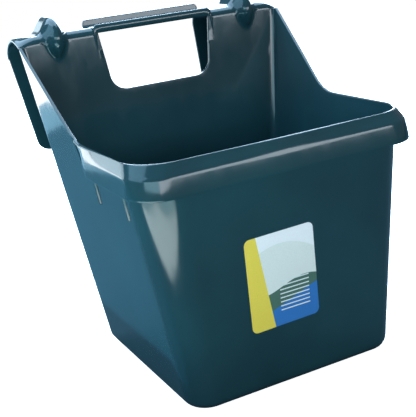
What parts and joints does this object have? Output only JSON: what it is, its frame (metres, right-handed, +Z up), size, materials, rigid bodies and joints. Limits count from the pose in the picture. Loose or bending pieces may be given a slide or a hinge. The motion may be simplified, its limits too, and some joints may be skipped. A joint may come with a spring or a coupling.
{
  "type": "hook over feeder",
  "caption": "Bucket feeder with a rolled rim, a high back with a hand opening and hooks that hang it over a fence board.",
  "frame": {"origin": "middle of the underside of the base, on the floor", "axes": "+X to the right seen from the front, +Y towards the fence board behind, +Z up"},
  "size_m": [0.3212, 0.3298, 0.366],
  "materials": {
    "moulding": "dark blue green injection moulded rubber and polyethylene blend, smooth and glossy",
    "label": null
  },
  "bodies": {
    "root": {"tub": "moulding", "back_panel": "moulding", "rim_lip": "moulding", "hook_left": "moulding", "hook_right": "moulding", "carry_handle": "moulding", "stacking_lugs": "moulding", "label": "label"}
  },
  "joints": []
}
